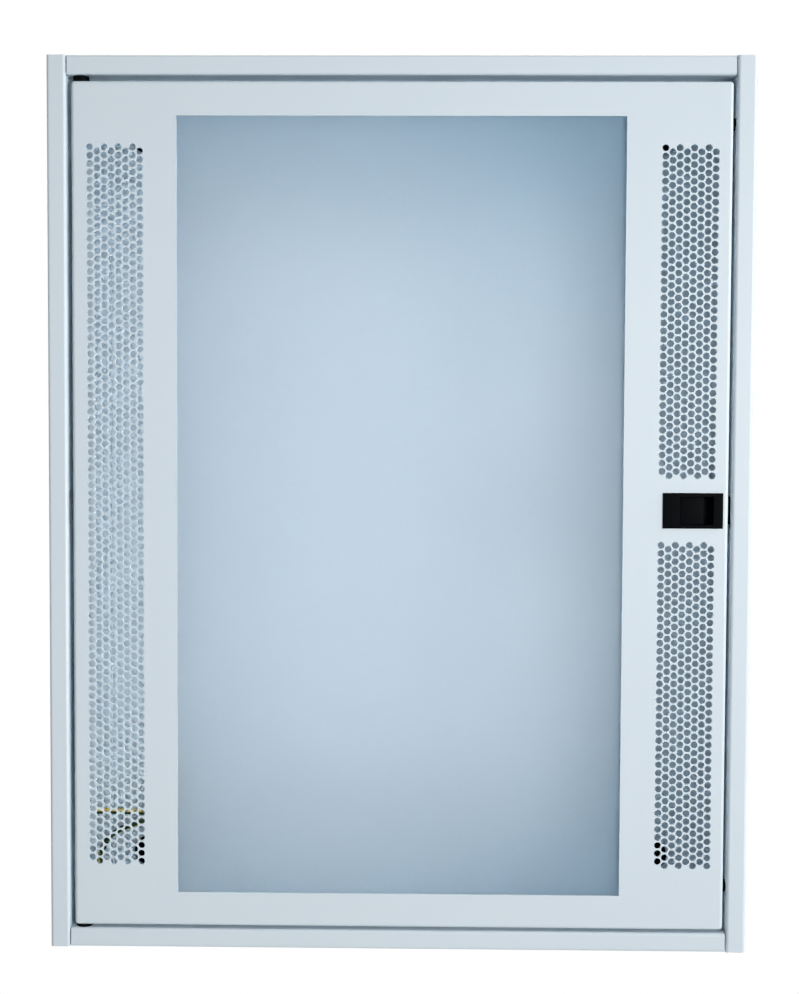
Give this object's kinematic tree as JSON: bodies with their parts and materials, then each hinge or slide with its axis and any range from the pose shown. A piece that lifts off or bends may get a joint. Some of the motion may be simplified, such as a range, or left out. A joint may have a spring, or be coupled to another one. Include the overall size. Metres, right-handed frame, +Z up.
{
  "type": "distribution cabinet",
  "caption": "Shallow wall-hung sheet-steel distribution cabinet with a hinged door, frosted window, perforated side strips and a recessed slide latch.",
  "frame": {"origin": "middle of the four wall fixings on the rear face of the back wall", "axes": "+X to the right seen from the front, -Y out of the front, +Y into the wall, +Z up"},
  "size_m": [0.515, 0.1516, 0.656],
  "materials": {
    "painted_steel": "pale grey powder coat, fine satin texture",
    "black_plastic": "moulded black, low sheen",
    "rubber": "soft black",
    "bright_steel": "zinc plated",
    "zinc_sheet": "galvanised sheet",
    "frosted_pane": "satin etched, pale blue grey",
    "brass": "plain",
    "tinned_lug": "tinned",
    "earth_insulation": "green and yellow striped insulation"
  },
  "bodies": {
    "cabinet": {"left_side": "painted_steel", "right_side": "painted_steel", "top_wall": "painted_steel", "bottom_wall": "painted_steel", "back_wall": "painted_steel", "wall_fixing_bushes": "black_plastic", "hinge_blocks": "painted_steel", "hinge_pins": "bright_steel", "door_buffers": "rubber", "mounting_plate": "painted_steel", "plate_spacers": "bright_steel", "plate_nuts": "bright_steel", "earth_bar": "brass", "earth_bar_posts": "bright_steel", "earth_bar_screws": "bright_steel", "earth_lugs": "tinned_lug", "earth_nuts": "bright_steel", "earth_lead_side": "earth_insulation", "earth_lead_base": "earth_insulation"},
    "door": {"door_panel": "painted_steel", "window_pane": "frosted_pane", "pane_seal": "rubber", "pane_retainer_left": "zinc_sheet", "pane_retainer_right": "zinc_sheet", "pane_retainer_top": "zinc_sheet", "pane_retainer_bottom": "zinc_sheet", "retainer_nuts": "bright_steel", "hinge_bushes": "black_plastic", "latch_housing": "black_plastic", "latch_spring": "bright_steel"},
    "latch": {"latch_slider": "black_plastic"}
  },
  "joints": [
    {"name": "door_hinge", "type": "hinge", "parent": "cabinet", "child": "door", "pos_m": [-0.2336, -0.1425, 0], "axis": [0, 0, -1], "range_deg": [0, 105]},
    {"name": "latch_slide", "type": "slide", "parent": "door", "child": "latch", "axis": [-1, 0, 0], "range_m": [0, 0.007], "stiffness_N_per_m": 300, "springref_m": -0.004, "deforming": ["latch_spring"]}
  ]
}
